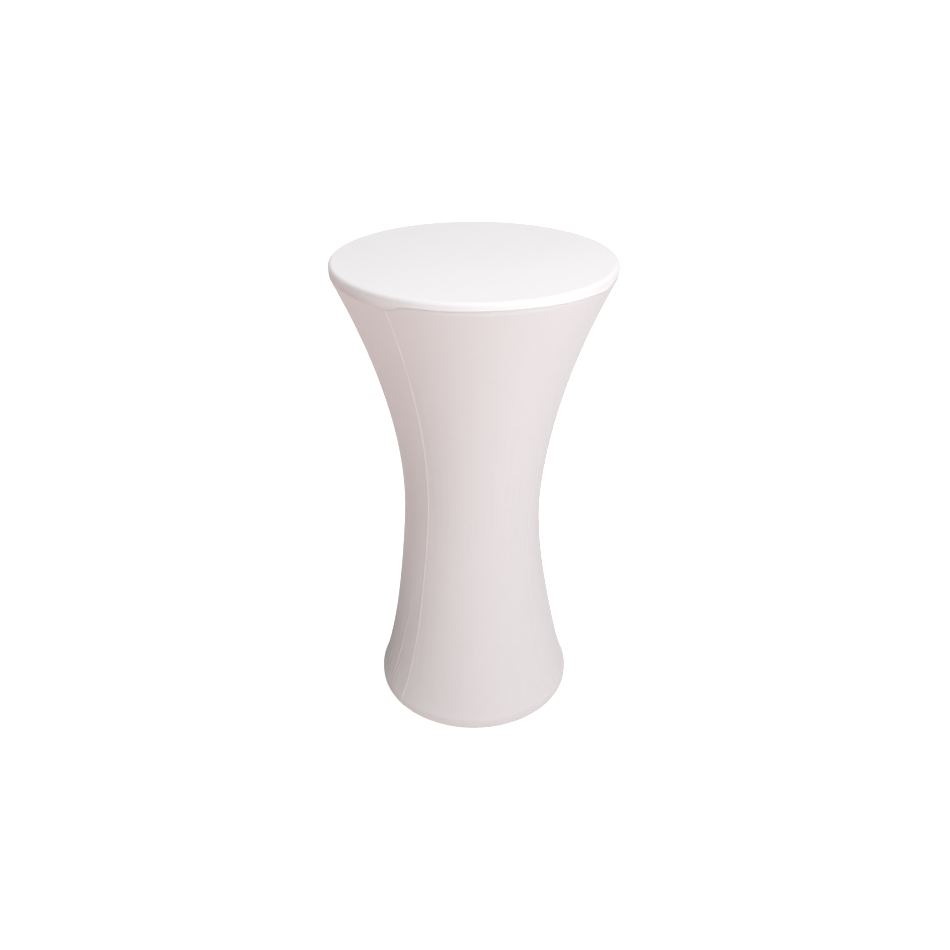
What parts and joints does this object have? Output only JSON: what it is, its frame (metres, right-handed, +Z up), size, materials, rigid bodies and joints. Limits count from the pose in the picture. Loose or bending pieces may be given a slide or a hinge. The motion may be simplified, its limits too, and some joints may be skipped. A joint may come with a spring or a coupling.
{
  "type": "covered cocktail table",
  "caption": "Tall round pedestal table dressed in a white fitted stretch cover with a flat cap, a narrow waist and an elastic hem under its round base.",
  "frame": {"origin": "on the floor, on the axis of the column", "axes": "+Z up along the column; -Y is the front, the side seen in the picture, and +X is to the right of a person facing it"},
  "size_m": [0.604, 0.604, 1.1],
  "materials": {
    "stretch_knit": "satin stretch knit",
    "seam_thread": "overlocked edge, matt thread",
    "elastic": "woven elastic",
    "laminate": "semi-gloss laminate",
    "core_board": "particle board",
    "edge_plastic": "satin bumper moulding",
    "painted_steel": "black powder coat",
    "polished_steel": "bright chrome",
    "zinc_steel": "bright zinc plate",
    "cast_metal": "black primed casting",
    "insert_brass": "turned brass",
    "pad_plastic": "moulded nylon"
  },
  "bodies": {
    "table": {"cap_panel": "stretch_knit", "cap_seam": "seam_thread", "skirt_gore_front": "stretch_knit", "skirt_gore_right": "stretch_knit", "skirt_gore_back": "stretch_knit", "skirt_gore_left": "stretch_knit", "gore_seam_front_left": "seam_thread", "gore_seam_front_right": "seam_thread", "gore_seam_back_right": "seam_thread", "gore_seam_back_left": "seam_thread", "hem_casing": "stretch_knit", "hem_elastic": "elastic", "top_laminate": "laminate", "tabletop_core": "core_board", "bottom_laminate": "laminate", "edge_moulding": "edge_plastic", "mounting_plate": "painted_steel", "plate_screws": "zinc_steel", "column_tube": "polished_steel", "column_plug": "cast_metal", "column_collar": "polished_steel", "tie_rod": "zinc_steel", "tie_rod_top_nut": "zinc_steel", "tie_rod_washer": "zinc_steel", "tie_rod_bottom_nut": "zinc_steel", "base_cover": "polished_steel", "base_weight": "cast_metal", "glide_inserts": "insert_brass"},
    "pad_1": {"glide_pad_1": "pad_plastic"},
    "pad_2": {"glide_pad_2": "pad_plastic"},
    "pad_3": {"glide_pad_3": "pad_plastic"},
    "pad_4": {"glide_pad_4": "pad_plastic"},
    "stem_1": {"glide_stem_1": "zinc_steel"},
    "stem_2": {"glide_stem_2": "zinc_steel"},
    "stem_3": {"glide_stem_3": "zinc_steel"},
    "stem_4": {"glide_stem_4": "zinc_steel"}
  },
  "joints": [
    {"name": "glide_1_travel", "type": "slide", "parent": "table", "child": "pad_1", "axis": [0, 0, -1], "range_m": [0, 0.01]},
    {"name": "glide_2_travel", "type": "slide", "parent": "table", "child": "pad_2", "axis": [0, 0, -1], "range_m": [0, 0.01]},
    {"name": "glide_3_travel", "type": "slide", "parent": "table", "child": "pad_3", "axis": [0, 0, -1], "range_m": [0, 0.01]},
    {"name": "glide_4_travel", "type": "slide", "parent": "table", "child": "pad_4", "axis": [0, 0, -1], "range_m": [0, 0.01]},
    {"name": "glide_1_turn", "type": "hinge", "parent": "pad_1", "child": "stem_1", "pos_m": [0.12021, 0.12021, 0.01], "axis": [0, 0, -1], "range_deg": [0, 2880]},
    {"name": "glide_2_turn", "type": "hinge", "parent": "pad_2", "child": "stem_2", "pos_m": [-0.12021, 0.12021, 0.01], "axis": [0, 0, -1], "range_deg": [0, 2880]},
    {"name": "glide_3_turn", "type": "hinge", "parent": "pad_3", "child": "stem_3", "pos_m": [-0.12021, -0.12021, 0.01], "axis": [0, 0, -1], "range_deg": [0, 2880]},
    {"name": "glide_4_turn", "type": "hinge", "parent": "pad_4", "child": "stem_4", "pos_m": [0.12021, -0.12021, 0.01], "axis": [0, 0, -1], "range_deg": [0, 2880]}
  ],
  "couplings": [
    {"joint": "glide_1_turn", "follows": "glide_1_travel", "rad_per_m": 5026.5},
    {"joint": "glide_2_turn", "follows": "glide_2_travel", "rad_per_m": 5026.5},
    {"joint": "glide_3_turn", "follows": "glide_3_travel", "rad_per_m": 5026.5},
    {"joint": "glide_4_turn", "follows": "glide_4_travel", "rad_per_m": 5026.5}
  ]
}
